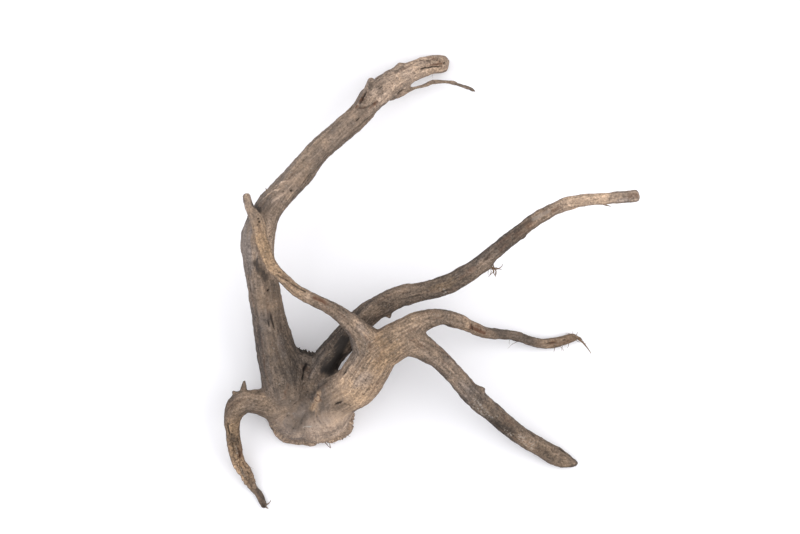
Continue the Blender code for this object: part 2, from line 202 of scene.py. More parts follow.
# Marks on the side that faces up, as (kind, radius, strength, points), each point (x, y).
MARKS = (
    # Long limb: the broken side shoot, its cracks, the decayed tip and the slit by the twiglet.
    ("dark", 2.6, 0.6, ((59, 312), (60, 315))),
    ("bulge", 3.6, 1.2, ((60, 317),)),
    ("rough", 4.5, 1.2, ((51, 301), (57, 310))),
    ("rough", 6.0, 1.4, ((116, 340), (126, 342), (133, 342))),
    ("crack", 0.9, 0.9, ((49, 298), (52, 303.5), (55, 308.5))),
    ("rust", 1.7, 0.8, ((47, 294), (52, 292), (58, 295), (65, 298.5))),
    ("crack", 0.6, 0.6, ((48, 293.5), (52, 292), (58, 295), (66, 299))),
    ("rust", 2.6, 0.7, ((50, 300), (55, 306))),
    ("pale", 3.0, 0.6, ((62, 308), (66, 303), (70, 300))),
    ("pale", 2.4, 0.5, ((73, 308), (78, 306))),
    ("hole", 1.5, 1.0, ((86.4, 308.4), (88.4, 310.2), (90.2, 312))),
    ("crack", 0.9, 1.0, ((108, 333.6), (114, 335), (121, 335.8), (129, 337))),
    ("rust", 3.2, 0.9, ((118, 340), (126, 341), (133, 341.5))),
    ("hole", 0.9, 0.8, ((121, 339.5),)),
    ("hole", 1.0, 0.9, ((127, 341.2),)),
    ("hole", 0.9, 0.9, ((131.5, 340.6),)),
    ("hole", 0.8, 0.8, ((124.5, 343),)),
    ("crack", 0.7, 0.8, ((107, 342), (112, 341.5), (118, 342.5))),
    ("pale", 2.4, 0.7, ((115.2, 331.6),)),
    ("hole", 0.8, 0.8, ((115.2, 331.6),)),
    ("dark", 1.6, 0.6, ((84, 329), (87, 332), (89, 335))),
    # Long limb: lifted pale fibres, worm holes and the crossing twig's painted shadow.
    ("ridge", 0.9, 1.5, ((-43.6, 202.8), (-38.8, 207.6), (-34, 210.6), (-28.2, 212.5))),
    ("ridge", 0.9, 1.3, ((-31.3, 216.6), (-26.4, 219), (-19.6, 220.2))),
    ("ridge", 0.8, 0.9, ((-35, 200), (-30, 204), (-25, 207))),
    ("hole", 1.3, 1.0, ((-16.3, 211.1),)),
    ("hole", 1.2, 1.0, ((-39.1, 115.2),)),
    # Painted shadow: the crossing twig's shadow on the long limb, in the next three darks.
    ("dark", 3.6, 0.8, ((-52, 197), (-47, 192))),
    ("dark", 3.8, 0.75, ((-51, 142), (-46.5, 134.5), (-41, 127))),
    ("dark", 6.0, 0.35, ((-36, 121), (-32, 112))),
    ("grey", 8.0, 1.0, ((-62, 176), (-61, 158), (-58, 140))),
    ("grey", 5.0, 0.6, ((-41.6, 92.6), (-45, 80))),
    ("dark", 3.0, 0.4, ((-38, 92), (-40, 86))),
    ("grey", 6.0, 0.6, ((-27, 66), (-30, 52))),
    ("pale", 2.6, 0.5, ((-37, 83), (-38, 78))),
    # The valley between the long limb and the under limb, down into the crown.
    # These darks are partly grime and partly painted shade of the deep crotch.
    ("dark", 5.5, 0.42, ((-15, 55), (-16, 42), (-15, 28))),
    ("dark", 7.0, 0.12, ((-14, 24), (-12, 12), (-10, 2))),
    ("crack", 0.6, 0.6, ((-14.5, 33), (-13.5, 24), (-12.5, 17))),
    ("crack", 0.5, 0.6, ((-8, 24), (-9, 16), (-9.5, 9))),
    ("crack", 1.5, 1.0, ((-3.4, 43), (-5.8, 36.4), (-7.2, 29))),
    ("crack", 0.7, 0.5, ((-17.6, 52), (-18.8, 43), (-17.6, 37))),
    ("crack", 0.7, 0.45, ((-11.4, 42), (-12.2, 36), (-13, 28))),
    ("crack", 0.6, 0.4, ((-23.6, 30), (-24.5, 24), (-25.6, 19))),
    ("rust", 1.8, 0.6, ((-21, 24), (-22, 18), (-23.5, 12))),
    ("dark", 2.4, 0.8, ((-10, 56.5), (-4, 53.5), (1, 51.5), (4, 52))),
    ("rough", 4.5, 2.4, ((-10, 56), (-4, 54), (1, 52.5), (5, 53))),
    # Crown: the bared knot, the scratch, worm holes, the dimple and the notch.
    ("tan", 5.4, 1.0, ((8, 14), (6.5, 7), (3.5, -1))),
    ("bleach", 4.4, 1.5, ((8, 13), (6.5, 7), (4.5, 1))),
    ("ring", 4.6, 1.0, ((7.6, 10.5),)),
    ("rust", 1.3, 0.6, ((9.6, 11), (11.4, 8))),
    ("rust", 1.1, 0.5, ((4, 5), (2.5, 0))),
    ("hole", 1.1, 0.8, ((39.7, 4.8),)),
    ("hole", 0.8, 0.7, ((52.2, 15.7),)),
    ("hole", 1.0, 0.7, ((3.6, -24.9),)),
    ("chalk", 0.8, 1.0, ((-5.8, -18.4), (-3, -17.6), (1.5, -17.9))),
    ("dark", 2.2, 0.3, ((-8.9, -32.4), (-11, -31))),
    ("rust", 3.4, 0.35, ((-9, -33.5), (-17, -34.4))),
    ("dark", 1.8, 0.95, ((43.4, -1), (42.4, -5))),
    ("dark", 2.0, 0.9, ((-40.5, -22.8),)),
    ("grey", 8.0, 0.7, ((54.5, 30), (50, 27))),
    ("grey", 5.0, 0.5, ((51.8, 78), (55.6, 68.4), (52, 58.7))),
    ("grey", 6.0, 0.5, ((-2, 8), (-8, -6))),
    ("tan", 9.0, 0.6, ((69, 68), (78, 59), (69, 45))),
    ("bleach", 12.0, 1.75, ((4, -19), (12, -16), (22, -13), (33, -9))),
    ("bleach", 8.0, 0.9, ((-22, -24), (-8, -28), (12, -30))),
    ("bleach", 8.0, 1.5, ((24, -28), (32, -22), (38, -12))),
    ("bleach", 9.0, 0.45, ((-24, 2), (-10, -4), (-22, -12))),
    ("worn", 15.0, 0.75, ((-22, -14), (-4, -14), (10, -12), (24, -12), (34, -6))),
    ("worn", 12.0, 0.5, ((-24, 6), (-6, 8), (14, 6), (30, 14))),
    ("worn", 13.0, 0.4, ((-58, 172), (-42, 196), (-14, 222), (22, 262), (46, 285))),
    ("worn", 12.0, 0.4, ((-42, 112), (-36, 80), (-32, 52))),
    ("rough", 6.0, 1.3, ((-35, -26), (-26, -36), (-8, -38), (4, -37), (16, -36), (30, -33))),
    ("rough", 6.0, 1.3, ((30, -33), (40, -21), (42, -8))),
    # Curled root: seasoning cracks, pits and the bared red-brown wood.
    ("crack", 0.9, 1.0, ((-81.2, -15.2), (-81, -21.4), (-80.2, -26.5))),
    ("hole", 0.9, 0.9, ((-71.6, -24.9),)),
    ("hole", 1.0, 0.8, ((-78, -27.7),)),
    ("dark", 2.4, 0.6, ((-77.6, -28), (-76, -33))),
    ("rust", 1.9, 0.8, ((-71.6, -41.8), (-69.6, -49))),
    ("crack", 0.7, 0.8, ((-71.6, -41.8), (-69.6, -49))),
    ("dark", 2.8, 0.45, ((-66.8, -65.5), (-62, -72), (-60, -78))),
    ("dark", 2.2, 0.6, ((-55, -84), (-51.4, -89.2), (-48.5, -93.5))),
    ("rough", 8.0, 1.9, ((-76, -34), (-74, -45), (-72, -56), (-67, -66), (-61, -76))),
    ("bulge", 5.5, 1.2, ((-66, -62), (-62, -70))),
    ("crack", 0.6, 0.8, ((-78, -34), (-77, -41), (-76, -47))),
    ("crack", 0.6, 0.9, ((-73, -52), (-70.5, -59), (-67, -66))),
    ("crack", 0.5, 0.8, ((-70, -50), (-67, -58), (-63, -67))),
    ("crack", 0.5, 0.8, ((-76, -50), (-73, -58), (-69, -66))),
    ("crack", 0.5, 0.8, ((-66, -70), (-62, -77), (-58, -84))),
    ("chalk", 0.8, 0.5, ((-74, -40), (-72.5, -46))),
    ("chalk", 0.8, 0.5, ((-70, -61), (-66, -69))),
    # Crossing twig: peeled pits, the tan stretch and its long grooves.
    ("bulge", 4.5, 0.8, ((-58.5, 204),)),
    ("rough", 4.5, 0.9, ((-50, 190), (-47, 178), (-47, 168))),
    ("hole", 0.9, 0.9, ((-46.5, 184),)),
    ("hole", 1.1, 1.0, ((-45.8, 181),)),
    ("hole", 0.8, 0.8, ((-47.7, 177.9),)),
    ("rust", 2.4, 0.4, ((-47.5, 186), (-45, 172))),
    ("pale", 1.3, 0.7, ((-48, 176), (-47, 168))),
    ("tan", 4.0, 0.9, ((-44.8, 163.6), (-42, 154), (-37.2, 144.6))),
    ("crack", 0.9, 0.8, ((-28.2, 130.4), (-20.2, 125.7), (-11.7, 120.3), (-2.2, 114.7))),
    ("rust", 1.6, 0.6, ((-16, 122), (-9, 118))),
    ("rust", 1.6, 0.7, ((6.3, 109.5), (13.9, 105.7), (21.5, 100.9))),
    ("pale", 1.4, 0.7, ((2, 111.6), (0, 109))),
    # Under limb: the foot in the forked limb's painted shadow, pits, the pale curl and the sawn
    # end.
    # Painted shadow: the forked limb's shadow on the under limb's foot, near black at its core.
    ("dark", 6.5, 1.0, ((33, 67), (28, 55), (23, 46), (19, 38))),
    ("dark", 5.5, 1.0, ((20, 45), (17, 41), (15, 36.5))),
    ("black", 4.2, 0.8, ((30, 52), (24, 43), (18, 36.5))),
    ("black", 3.0, 0.75, ((19, 34.5), (23, 37), (27, 41))),
    ("crack", 0.6, 0.5, ((99, 112), (113, 116), (127, 121))),
    ("chalk", 0.7, 0.8, ((129.4, 116.8), (132.3, 113.9), (129.5, 112))),
    ("dark", 2.4, 0.5, ((198, 172), (206, 178), (212, 183))),
    ("rust", 3.6, 0.5, ((184, 157), (192, 165), (203, 172))),
    ("rust", 3.4, 0.45, ((210, 179), (219, 185))),
    ("chalk", 1.6, 0.35, ((215, 184), (223, 188), (231, 192))),
    ("rust", 2.6, 0.4, ((146, 127), (152, 131), (158, 136))),
    ("tan", 4.0, 0.6, ((119, 117), (130, 119), (140, 124))),
    ("hole", 0.9, 0.7, ((224.6, 193.4),)),
    ("rust", 2.0, 0.6, ((226, 190), (234, 191), (240, 195))),
    ("hole", 0.8, 0.7, ((233.1, 191.5),)),
    ("rust", 1.6, 0.5, ((306, 206), (312, 206))),
    ("grey", 2.0, 0.7, ((296, 201.5), (303, 202))),
    # Right limb: the red-brown sore with its pits, then dark bark and the peeled end.
    ("rust", 3.2, 0.75, ((158.5, 79.8), (164, 77.4), (170, 75.6))),
    ("crack", 0.8, 0.9, ((157.7, 83), (158.7, 76))),
    ("hole", 1.0, 1.0, ((166.7, 77),)),
    ("hole", 1.0, 0.9, ((173, 75.8),)),
    ("hole", 0.8, 0.8, ((163, 75),)),
    ("dark", 4.5, 0.35, ((186.4, 72), (204.7, 67.8), (221, 63.5))),
    ("rust", 3.0, 0.5, ((240, 61.5), (250, 64), (258, 67.5))),
    ("crack", 0.6, 0.8, ((234, 62), (244, 62.5), (252, 65.5))),
    # Lower limb: the dark patch with its lichen flecks, pale patches towards the end.
    ("dark", 6.0, 0.22, ((160, 12), (170, 3.4), (180, -6))),
    ("notch", 4.0, 0.8, ((114, 77), (117, 79))),
    ("bulge", 4.0, 1.0, ((261, -56),)),
    ("grey", 6.0, 0.5, ((148, 26), (156, 17))),
    ("flecks", 5.0, 1.0, ((161, 4), (169, -4), (176, -9))),
    ("flecks", 3.6, 1.0, ((193, -23), (199, -27))),
    ("flecks", 5.0, 0.6, ((206, -30.4), (220, -38))),
    ("pale", 3.2, 0.5, ((206, -30.4), (218, -38))),
    ("dark", 2.6, 0.5, ((190, -18), (200, -24))),
    ("dark", 2.8, 0.5, ((231.5, -46), (239.7, -52))),
)

# What each kind of mark does: its depth (mm, and below 0 it stands proud), its paint, its edge.
MARK_KINDS = {
    "crack": (1.5, "dark", "crisp"),
    "hole": (2.2, "dark", "crisp"),
    "ring": (0.5, "rust", "ring"),
    "bleach": (0.0, "pale", "wide"),
    "worn": (0.0, "worn", "wide"),
    # Black is painted deep shadow, in the crack colour.
    "black": (0.0, "dark", "wide"),
    "bulge": (-1.8, "shape_only", "blunt"),
    "notch": (2.5, "shape_only", "blunt"),
    "rough": (0.0, "rough", "blunt"),
    # Dark is grime and bark, and also painted shade where one limb shadows another.
    "dark": (0.0, "shade", "streaked"),
    "pale": (-0.25, "pale", "streaked"),
    "ridge": (-0.6, "pale", "streaked"),
    "flecks": (0.0, "flecks", "streaked"),
    "chalk": (-0.1, "chalk", "streaked"),
    "tan": (0.1, "tan", "streaked"),
    "rust": (0.35, "rust", "streaked"),
    "grey": (0.0, "grey", "streaked"),
}
# How far out each kind of edge ends and how wide it fades, in radii of the mark.
MARK_EDGES = {
    "crisp": (1.25, 1.0), "wide": (1.7, 1.5), "blunt": (1.1, 0.8), "streaked": (1.35, 1.0)
}
RING_RADIUS = 0.75
RING_WIDTH = 0.25
STREAKED_REACH = 0.3
# A mark's outline wanders this far (mm), over lumps of this size (mm).
WANDER_MM = 0.9
WANDER_SIZE_MM = 5

# How much each pattern and each painted mark adds to the wood's paleness and to its tan.
# Flank and left are painted shade: flanks and underside darker, left sides greyer.
PALE_SHARES = {
    "fine": 0.05, "blotch": 0.02, "patch": 0.025, "hollow": -0.03, "pale": 0.26, "flank": -0.35
}
TAN_SHARES = {"patch": 0.05, "blotch": 0.03, "tan": 0.45, "grey": -0.35, "left": -0.45}

# Rootlets of each piece: (x, y, z, heading, rise, length, curl, thickness), angles in degrees.
# Heading 0 points along +X and 90 along +Y; curl is how far the rootlet turns along its length.
ROOTLETS = {
    "under_limb_tuft": (
        (171, 141, 73, -25, -5, 9, -40, 1.5),
        (173, 139.5, 72, -40, -10, 9, 50, 2.4),
        (176, 138, 72, -50, -10, 7, 80, 2.6),
        (176, 136, 72, 20, 0, 6, 90, 2.2),
        (178, 136, 72, 0, 10, 12, 75, 1.5),
        (178, 137, 73, -90, -5, 8, 60, 1.8),
        (180, 135, 72, -60, -10, 6, -60, 1.3),
        (179, 134, 72, -140, 0, 8, 30, 1.0),
        (176, 134, 72, -100, 0, 6, -40, 0.9),
        (181, 137, 73, -20, 5, 5, 50, 1.2),
        (174, 137, 72, -120, -5, 7, 40, 0.9),
        (180, 133, 72, -80, 0, 5, 30, 0.9),
        (182, 136, 72, 10, 20, 5, -60, 0.9),
    ),
    "right_limb_end_rootlets": (
        (261, 68.5, 7, -22, 0, 25, -42, 2.6),
        (270, 64, 7, -60, 0, 5, 60, 0.8),
        (262, 69, 6, 40, 10, 6, 60, 0.9),
        (261, 70, 7, 120, 20, 5, -40, 0.6),
        (263, 66, 6, -60, -10, 7, 50, 0.7),
        (258, 71, 7, 150, 10, 6, 60, 0.6),
        (256, 62, 5, -70, -20, 6, -60, 0.7),
        (250, 59, 5, -110, 0, 6, 40, 0.6),
        (242, 57, 5, -80, 0, 5, -50, 0.6),
        (247, 59, 6, -30, 0, 9, -45, 0.5),
        (262, 68, 8, 10, 10, 8, -70, 0.8),
        (204, 64, 19, -150, -5, 12, 45, 0.45),
        (197, 66, 20, -120, -10, 5, 40, 0.4),
    ),
    "curled_root_rootlets": (
        (-49, -97, 3, 165, 10, 8, -80, 1.4),
        (-46.5, -99, 3, 0, 10, 8, 80, 1.5),
        (-47, -100, 3, -60, 0, 5, 60, 2.2),
        (-64.5, 19, 38, 86, 0, 7.5, 8, 3.0),
        (-70, -52, 13, -60, 0, 9, 20, 1.4),
        (-67, -60, 10, -50, 0, 8, -20, 1.5),
        (-73, -56, 12, -75, 0, 9, 20, 1.3),
        (-63, -64, 9, -40, 0, 6, -40, 1.2),
        (-70, -66, 8, -100, 0, 5, 30, 1.0),
        (-80, -38.6, 18, 178, 5, 4.5, 25, 0.45),
        (-70, -65, 9, -150, 0, 5, 30, 0.5),
        (-71, -64, 10, 170, 0, 4, -30, 0.45),
        (-69, -67, 9, -120, 0, 4, 30, 0.5),
        (-62, -61, 12, -10, 0, 5, -20, 0.3),
    ),
    "crown_rootlets": (
        (12.4, -36, 6, -46, 0, 9.5, 0, 1.2),
        (18.6, -42.4, 6, 100, 0, 6.5, -10, 1.0),
        (20, -37, 6, -20, 0, 4, 30, 0.6),
        (36, -30, 5, -40, 0, 3, 40, 0.5),
    ),
    "long_limb_hairs": (
        (120, 328.6, 18, -95, 0, 4, 20, 0.3),
        (-43.5, 205.5, 70, 135, 10, 4.2, 20, 2.0),
        (-39.5, 210.4, 70, 130, 10, 4.6, -20, 1.8),
        (281, 198.5, 91, -22, 0, 9, 30, 2.0),
    ),
    "valley_splinters": (
        (-8.5, 53, 40, 60, 0, 3.5, 30, 1.6),
        (-3.5, 51, 38, 100, 5, 3.5, -30, 1.8),
        (1.5, 49.5, 38, 75, 0, 3.5, 40, 1.6),
        (4.5, 49.5, 38, 110, 0, 3, -20, 1.3),
    ),
}

ROOTLET_STEPS = 9
# The share of its thickness that a rootlet loses by its tip.
ROOTLET_TAPER = 0.75

# Spacing of the samples along a grain line, and how sharply one limb's grain gives way to the next.
SAMPLE_MM = 4.0
BLEND_SHARPNESS = 4.0
SEED = 41

# The stage, in metres. Each light: its name, its place from the wood's middle, its share of power.
LIGHTS = (
    ("left_soft_light", (-1.2, 0.35, 1.1), 0.6),
    ("right_soft_light", (1.2, 0.0, 1.1), 0.85),
    ("overhead_soft_light", (0.0, 0.2, 2.4), 0.55),
)
LIGHT_SIZE = 1.4
FLOOR_REACH = 3.0
FLOOR_GAP = 0.05 * MM
CAMERA_PLACE = (88 * MM, 138 * MM)


def linear_colour(text):
    """The linear RGBA value of an sRGB hex colour."""
    linear = []
    for i in (1, 3, 5):
        value = int(text[i : i + 2], 16) / 255
        linear.append(value / 12.92 if value <= 0.04045 else ((value + 0.055) / 1.055) ** 2.4)
    return (*linear, 1.0)


def length_property(name, default, description, low=0.0):
    return FloatProperty(
        name=name, default=default, min=low, unit="LENGTH", precision=5, description=description
    )


def colour_property(name, hex_colour, description):
    return FloatVectorProperty(
        name=name,
        subtype="COLOR",
        size=4,
        min=0.0,
        max=1.0,
        default=linear_colour(hex_colour),
        description=description,
    )


class DriftwoodShape(bpy.types.PropertyGroup):
    voxel: length_property("Voxel", 0.85 * MM, "Edge of the fine mesh's cells", 0.3 * MM)
    smooth_passes: IntProperty(
        name="Smoothing", default=8, min=0, description="Passes that round off the cells"
    )
    swell: length_property("Swell", 0.2 * MM, "How far the skin moves out after the smoothing")
    lump_size: length_property("Lump size", 13 * MM, "Spacing of the broad lumps")
    lump_height: length_property("Lump height", 0.7 * MM, "Height of the broad lumps")
    furrow_depth: length_property("Furrow depth", 0.28 * MM, "Depth of the long furrows")
    fibre_depth: length_property("Fibre depth", 0.1 * MM, "Depth of the fine fibres")
    rough_height: length_property("Roughness", 0.6 * MM, "Height of the torn and broken surfaces")
    crack_depth: length_property("Crack depth", 0.8 * MM, "Depth of the seasoning cracks")
    crack_level: FloatProperty(
        name="Crack level", default=2.3, description="Higher gives fewer cracks"
    )
    worm_holes: IntProperty(
        name="Worm holes", default=110, min=0, description="Small holes all over"
    )
    hop: length_property("Grain step", 2.4 * MM, "Step along the grain when fibres are drawn out")


class DriftwoodFinish(bpy.types.PropertyGroup):
    grey: colour_property("Silver grey", "#6f655f", "Sun-bleached wood")
    tan: colour_property("Tan", "#8d755d", "Wood newly bared by the water")
    rust: colour_property("Red-brown", "#5c4233", "Bared inner bark and decay")
    chalk: colour_property("Chalk", "#a39a90", "Dried salt and lichen")
    # Black-brown also fills painted deep shadow, and Stain painted shade where limbs cross.
    dark: colour_property("Black-brown", "#16110e", "The inside of cracks and holes, and painted deep shadow")
    shade: colour_property("Stain", "#2e2926", "Grime in the hollows, and painted shade where limbs cross")
    rootlet: colour_property("Rootlet", "#6a5440", "Dried rootlets")
    roughness: FloatProperty(
        name="Roughness",
        default=0.86,
        min=0.0,
        max=1.0,
        subtype="FACTOR",
        description="Dull, dry wood",
    )


class DriftwoodStage(bpy.types.PropertyGroup):
    floor: colour_property("Floor", "#f3f2f4", "Plain pale floor")
    sky: FloatProperty(
        name="Room light", default=0.85, min=0.0, description="Strength of the even room light"
    )
    side_power: FloatProperty(
        name="Soft lights", default=16.5, min=0.0, unit="POWER", description="Each takes its share"
    )
    camera_height: length_property("Camera height", 2.0, "Height of the camera over the floor")
    lens: FloatProperty(
        name="Lens", default=90.0, min=10.0, description="Focal length in millimetres"
    )


# ---------------------------------------------------------------------------- fine mesh


class Skin:
    """The fine mesh as arrays: points, normals, and the links between neighbouring points."""

    def __init__(self, mesh):
        self.mesh = mesh
        self.count = len(mesh.vertices)
        self.read()
        ends = np.empty(len(mesh.edges) * 2, np.int32)
        mesh.edges.foreach_get("vertices", ends)
        links = [ends.reshape(-1, 2)]
        corners = np.array([f.vertices[:] for f in mesh.polygons if len(f.vertices) == 4], np.int32)
        links += [corners[:, [0, 2]], corners[:, [1, 3]]]
        pairs = np.concatenate(links)
        self.here = np.concatenate([pairs[:, 0], pairs[:, 1]])
        self.there = np.concatenate([pairs[:, 1], pairs[:, 0]])

    def read(self):
        points = np.empty(self.count * 3, np.float32)
        self.mesh.vertices.foreach_get("co", points)
        self.points = points.reshape(-1, 3).astype(np.float64)
        normals = np.empty(self.count * 3, np.float32)
        self.mesh.vertex_normals.foreach_get("vector", normals)
        self.normals = normals.reshape(-1, 3).astype(np.float64)

    def push(self, height):
        """Moves each point out along its normal by its height, and keeps the feet flat."""
        self.points += self.normals * height[:, None]
        self.points[:, 2] = np.maximum(self.points[:, 2], 0.0)
        self.mesh.vertices.foreach_set("co", self.points.astype(np.float32).ravel())
        self.mesh.update()
        self.read()

    def spread(self, values, passes, weights=None):
        """Averages values with their neighbours, evenly or by a weight for each link."""
        weights = np.ones(len(self.here)) if weights is None else weights
        total = np.bincount(self.here, weights, self.count) + 1.0
        for _ in range(passes):
            near = np.bincount(self.here, weights * values[self.there], self.count)
            values = (values + near) / total
        return values

    def store(self, name, values):
        attribute = self.mesh.attributes.new(name, "FLOAT", "POINT")
        attribute.data.foreach_set("value", np.asarray(values, np.float32))

    def store_vectors(self, name, vectors):
        attribute = self.mesh.attributes.new(name, "FLOAT_VECTOR", "POINT")
        attribute.data.foreach_set("vector", np.asarray(vectors, np.float32).ravel())


def fine_copy(shape):
    """A finely divided, smoothed copy of the CAD solid's mesh."""
    base = bpy.data.objects.new("driftwood_base", bpy.data.objects[NODE].data.copy())
    bpy.context.collection.objects.link(base)
    weld = base.modifiers.new("weld", "WELD")
    weld.merge_threshold = 0.01 * MM
    rounding = base.modifiers.new("rounding", "SUBSURF")
    rounding.levels = 1
    cells = base.modifiers.new("cells", "REMESH")
    cells.mode = "VOXEL"
    cells.voxel_size = shape.voxel
    smooth = base.modifiers.new("smooth", "SMOOTH")
    smooth.factor = 0.5
    smooth.iterations = shape.smooth_passes
    evaluated = base.evaluated_get(bpy.context.evaluated_depsgraph_get())
    mesh = bpy.data.meshes.new_from_object(evaluated)
    bpy.data.objects.remove(base, do_unlink=True)
    if not mesh.polygons:
        raise RuntimeError("the fine copy of the driftwood is empty")
    return mesh


# ---------------------------------------------------------------------------- grain


def crown_spokes():
    """Grain lines that run down the crown's flare, evenly round it."""
    middle_x, middle_y = CROWN_CENTRE
    lines = []
    for k in range(CROWN_SPOKES):
        turn = math.tau * k / CROWN_SPOKES
        line = []
        for reach, *rest in CROWN_SPOKE:
            x = middle_x + reach * math.cos(turn)
            y = middle_y + CROWN_Y_SHARE * reach * math.sin(turn)
            line.append((x, y, *rest))
        lines.append(line)
    return lines


def sampled(line):
    """A grain line as evenly spaced rows, with the distance along it."""
    rows = np.array(line, float)
    steps = np.linalg.norm(np.diff(rows[:, :3], axis=0), axis=1)
    along = np.concatenate([[0.0], np.cumsum(steps)])
    places = np.linspace(0.0, along[-1], max(int(along[-1] / SAMPLE_MM), 3))
    return np.stack([np.interp(places, along, column) for column in rows.T], axis=1), places


def limb_axes(centres):
    """The direction at each sample, and an axis across it that doesn't twist along the limb."""
    forward = np.gradient(centres, axis=0)
    forward /= np.linalg.norm(forward, axis=1)[:, None]
    across = np.empty_like(forward)
    carried = np.cross(forward[0], (0.0, 0.0, 1.0)) + (0.0, 1e-3, 0.0)
    for i, direction in enumerate(forward):
        carried = carried - direction * carried.dot(direction)
        carried /= np.linalg.norm(carried)
        across[i] = carried
    return forward, across


def nearest_samples(points, line):
    """The line's samples, which of them is nearest to each point, and how many radii away."""
    rows, places = sampled(line)
    centres = rows[:, :3]
    square = (points**2).sum(1)[:, None] + (centres**2).sum(1)[None] - 2 * points @ centres.T
    ratio = np.sqrt(np.maximum(square, 0.0)) / rows[:, 3][None]
    nearest = ratio.argmin(1)
    return rows, places, nearest, ratio[np.arange(len(points)), nearest]


def read_grain(skin):
    """The grain's direction over the skin, fibre coordinates, and the limbs' paleness and tan.

    Where limbs meet, their directions are averaged as tensors, so that opposite ones agree.
    """
    points = skin.points / MM
    lines = list(GRAIN_LINES.values()) + crown_spokes()
    reach = [nearest_samples(points, line) for line in lines]
    best = np.minimum.reduce([closeness for *_, closeness in reach])
    tensor = np.zeros((skin.count, 6))
    tone = np.zeros((skin.count, 2))
    total = np.zeros(skin.count)
    heading = np.zeros((skin.count, 3))
    fibre = np.zeros((skin.count, 3))
    for rows, places, nearest, closeness in reach:
        forward, across = limb_axes(rows[:, :3])
        direction = forward[nearest]
        weight = np.exp(-BLEND_SHARPNESS * (closeness - best))
        x, y, z = direction.T
        tensor += weight[:, None] * np.stack([x * x, y * y, z * z, x * y, y * z, x * z], 1)
        tone += weight[:, None] * rows[nearest, 4:6]
        total += weight
        own = closeness <= best
        heading[own] = direction[own]
        offset = points - rows[nearest, :3]
        side = across[nearest]
        up = np.cross(direction, side)
        along = places[nearest] + (offset * direction).sum(1)
        local = np.stack([(offset * side).sum(1), (offset * up).sum(1), along], 1)
        fibre[own] = local[own]
    xx, yy, zz, xy, yz, xz = (skin.spread(column, 14) for column in (tensor / total[:, None]).T)
    tone = np.stack([skin.spread(column, 10) for column in (tone / total[:, None]).T], 1)
    full = np.stack([xx, xy, xz, xy, yy, yz, xz, yz, zz], 1).reshape(-1, 3, 3)
    flat = np.eye(3) - skin.normals[:, :, None] * skin.normals[:, None, :]
    _, vectors = np.linalg.eigh(flat @ full @ flat)
    grain = vectors[:, :, 2]
    grain *= np.sign((grain * heading).sum(1) + 1e-9)[:, None]
    return grain, fibre, tone


def standard(values):
    """The values moved and scaled to a mean of 0 and a spread of 1."""
    return (values - values.mean()) / values.std()


def step_ahead(skin, grain, hop):
    """For each point, the point one hop further along the grain."""
    tree = KDTree(skin.count)
    for i, point in enumerate(skin.points):
        tree.insert(point, i)
    tree.balance()
    return np.array([tree.find(point)[1] for point in skin.points + grain * hop])


def along_weights(skin, grain):
    """Link weights that favour neighbours lying along the grain."""
    step = skin.points[skin.there] - skin.points[skin.here]
    step /= np.linalg.norm(step, axis=1)[:, None] + 1e-12
    return np.abs((step * grain[skin.here]).sum(1)) ** 6


def drawn_out(values, ahead, doublings):
    """Values averaged over a run of hops along the grain, which doubles in length each time."""
    for _ in range(doublings):
        values = values + values[ahead]
        ahead = ahead[ahead]
    return values


def lump_noise(skin, size, offset):
    """Smooth noise at each point, with features of the size given."""
    shift = Vector((offset, 2 * offset, 3 * offset))
    return np.array([noise.fractal(Vector(p) / size + shift, 0.7, 2.0, 3) for p in skin.points])


# ---------------------------------------------------------------------------- marks


def surface_line(tree, places):
    """Points every half millimetre along a line of places, dropped onto the wood from above."""
    found = []
    for a, b in zip(places, places[1:] or places):
        steps = max(int(math.dist(a, b) / 0.5), 1)
        for k in range(steps + 1):
            x = a[0] + (b[0] - a[0]) * k / steps
            y = a[1] + (b[1] - a[1]) * k / steps
            hit = tree.ray_cast(Vector((x * MM, y * MM, 0.3)), Vector((0, 0, -1)))[0]
            if hit is not None:
                found.append(hit)
    return np.array(found)


def mark_cover(edge, gap, streaks):
    """How much of a mark there is at each point, by the gap to its line in radii of the mark."""
    if edge == "ring":
        cover = np.clip(1.0 - np.abs(gap - RING_RADIUS) / RING_WIDTH, 0.0, 1.0)
    else:
        reach, fade = MARK_EDGES[edge]
        wave = STREAKED_REACH * streaks if edge == "streaked" else 0.0
        cover = np.clip(reach - gap + wave, 0.0, fade) / fade
    return cover * cover * (3 - 2 * cover)


def mark_skin(skin, streaks):
    """Cuts and paints the placed marks. It returns the height and the painted attributes."""
    corners = [Vector(p) for p in skin.points]
    surface = BVHTree.FromPolygons(corners, [f.vertices[:] for f in skin.mesh.polygons])
    height = np.zeros(skin.count)
    paint = {name: np.zeros(skin.count) for _, name, _ in MARK_KINDS.values()}
    # Each mark is looked up a little off its place, so that its outline wanders.
    wander = np.array([noise.noise_vector(corner / (WANDER_SIZE_MM * MM)) for corner in corners])
    ragged = skin.points + WANDER_MM * MM * wander
    astray = []
    for kind, radius, strength, places in MARKS:
        line = surface_line(surface, places)
        if not len(line):
            astray.append((kind, places[0]))
            continue
        middle = line.mean(0)
        span = np.linalg.norm(line - middle, axis=1).max() + 3 * radius * MM
        near = np.flatnonzero(np.linalg.norm(skin.points - middle, axis=1) < span)
        gap = np.linalg.norm(ragged[near][:, None] - line[None], axis=2).min(1) / (radius * MM)
        depth, name, edge = MARK_KINDS[kind]
        cover = mark_cover(edge, gap, streaks[near]) * strength
        height[near] -= cover * depth * MM
        paint[name][near] = np.maximum(paint[name][near], cover)
    if astray:
        raise RuntimeError(f"marks off the wood: {astray}")
    return height, paint


